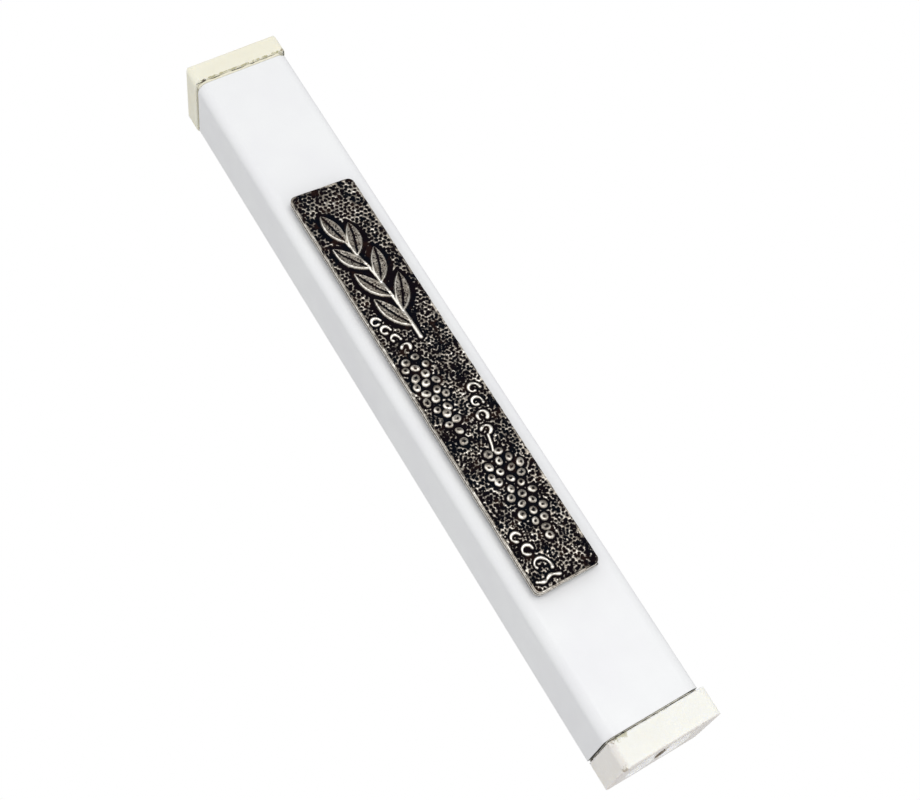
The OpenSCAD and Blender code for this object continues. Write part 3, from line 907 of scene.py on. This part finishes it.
def caps():
    """Both caps with their softened edges, grime, painted shade and painted light, and the flash at both
    joints.
    """
    top_z, bottom_z = TUBE_HIGH.z + TOP_GAP, TUBE_LOW.z - BOTTOM_GAP
    front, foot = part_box("top_cap")[0].y, CAD_BOX[0].z
    point = (1, 1, 1)
    # Top joint: an olive line under the flange's front edge, partly grime and partly painted shade of the
    # overhang; painted shade, near black, on the plug seen through the gap on the left; a brown patch at
    # the joint's right end.
    top_marks = [((0, front, top_z), (0, 1, 1), 0, 0.5 * MM, 0.8, OLIVE),
                 ((-8.2 * MM, 0, top_z - 0.3 * MM), (1, 0, 1), 0.4 * MM, 0.9 * MM, 0.9, GAP_SHADE),
                 ((9.9 * MM, front, top_z), point, 0.3 * MM, 1.4 * MM, 0.7, SOIL_AND_SHADE)]
    # Painted shade: the bottom cap's left side face is greyed with a pink tint.
    left_side_shade = ((-9.8 * MM, 0, 0), (1, 0, 0), 0.6 * MM, 1.6 * MM, 0.5, (0.74, 0.69, 0.66))
    # Painted shade: the bottom cap's end face is greyed.
    end_face_shade = ((0, 0, foot), (0, 0, 1), 0.1 * MM, 0.35 * MM, 0.55, (0.60, 0.54, 0.52))
    # Painted shade: dark brown in the nail slot.
    slot = ((0.1 * MM, -9.0 * MM, foot + 0.6 * MM), (1, 0.6, 0.6), 1.1 * MM, 1.6 * MM, 0.9,
            (0.13, 0.09, 0.05))
    # Painted shade: brown darkening in the left pocket's inner back corner.
    pocket = ((-4.2 * MM, -4.6 * MM, foot + 1.3 * MM), (0.3, 1, 1), 0.3 * MM, 0.9 * MM, 0.8, SOIL_AND_SHADE)
    # Painted light: the inside of both pockets is painted near white.
    pocket_light = [((x * MM, -8.1 * MM, foot + 0.9 * MM), (0.3, 0.16, 0.7), 1.0 * MM, 1.2 * MM, 1.0,
              (0.98, 0.97, 0.95)) for x in (3.25, -3.95)]
    bottom_marks = [left_side_shade, end_face_shade, *pocket_light, slot, pocket,
                    # Then: a darker line along the bottom joint's front; painted shade, dark grey, on the
                    # plug seen through the gap on the left; olive and brown scuffs round the front-left
                    # corner; a darker line along the end face's front edge at the right.
                    ((0, front, bottom_z), (0, 1, 1), 0, 0.35 * MM, 0.6, SOIL_AND_SHADE),
                    ((-8.4 * MM, 0, bottom_z + 0.2 * MM), (1, 0, 1), 0.4 * MM, 0.9 * MM, 0.95, GREY_GAP_SHADE),
                    ((-7.4 * MM, front, bottom_z), (0.45, 1, 1), 0, 1.6 * MM, 0.6, OLIVE),
                    ((-9.2 * MM, front + 0.4 * MM, bottom_z), (0.8, 0.8, 1), 0, 1.7 * MM, 0.7, SOIL_AND_SHADE),
                    ((-9.6 * MM, front + 0.8 * MM, foot), point, 0, 1.9 * MM, 0.6, SOIL_AND_SHADE),
                    ((6.6 * MM, front, foot), (0.1, 1, 1), 0, 0.4 * MM, 0.75, SOIL_AND_SHADE)]
    top = cap_plastic("cream_plastic", (0.81, 0.79, 0.67), (0.80, 0.77, 0.64), top_marks)
    # Painted light: the bottom cap's plastic is the top cap's cream painted paler and whiter.
    bottom = cap_plastic("ivory_plastic", (0.845, 0.84, 0.79), (0.83, 0.82, 0.76), bottom_marks)
    soften("top_cap", 0.2 * MM, top)
    soften("bottom_cap", 0.16 * MM, bottom)
    torn = cap_plastic("cream_flash", (0.80, 0.77, 0.64), (0.76, 0.72, 0.56), [], depth=0.0)
    # The bottom joint's flash is painted dark: partly grime, partly painted shade of the gap it fills.
    soiled_and_shaded = cap_plastic("soiled_and_shaded_flash", (0.66, 0.64, 0.56), (0.22, 0.20, 0.15), [], depth=0.0)
    flash("top_cap", TUBE_HIGH.z, 1, 0.46 * MM, 0.045 * MM, 0.08 * MM, 1.8 * MM, 12, torn)
    flash("bottom_cap", TUBE_LOW.z, -1, 0.27 * MM, 0.07 * MM, -0.06 * MM, 4.2 * MM, 15, soiled_and_shaded)


def build():
    """Materials for the CAD nodes that stay, and a detailed piece for each of the others."""
    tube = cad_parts["case_tube"]
    tube.data.materials.clear()
    tube.data.materials.append(white_coating())
    plaque()
    caps()
    grey = foam("grey_foam", (0.16, 0.155, 0.15), (0.06, 0.06, 0.06))
    white = foam("white_foam", (0.80, 0.80, 0.77), (0.55, 0.55, 0.52))
    tape("plaque_tape", "plaque_pad", grey, 0.05 * MM)
    tape("mounting_tape", "back_foam_strip", white, 0.10 * MM)
    rolled_parchment()
    sleeve()


build()
stage()
key_light()
camera()
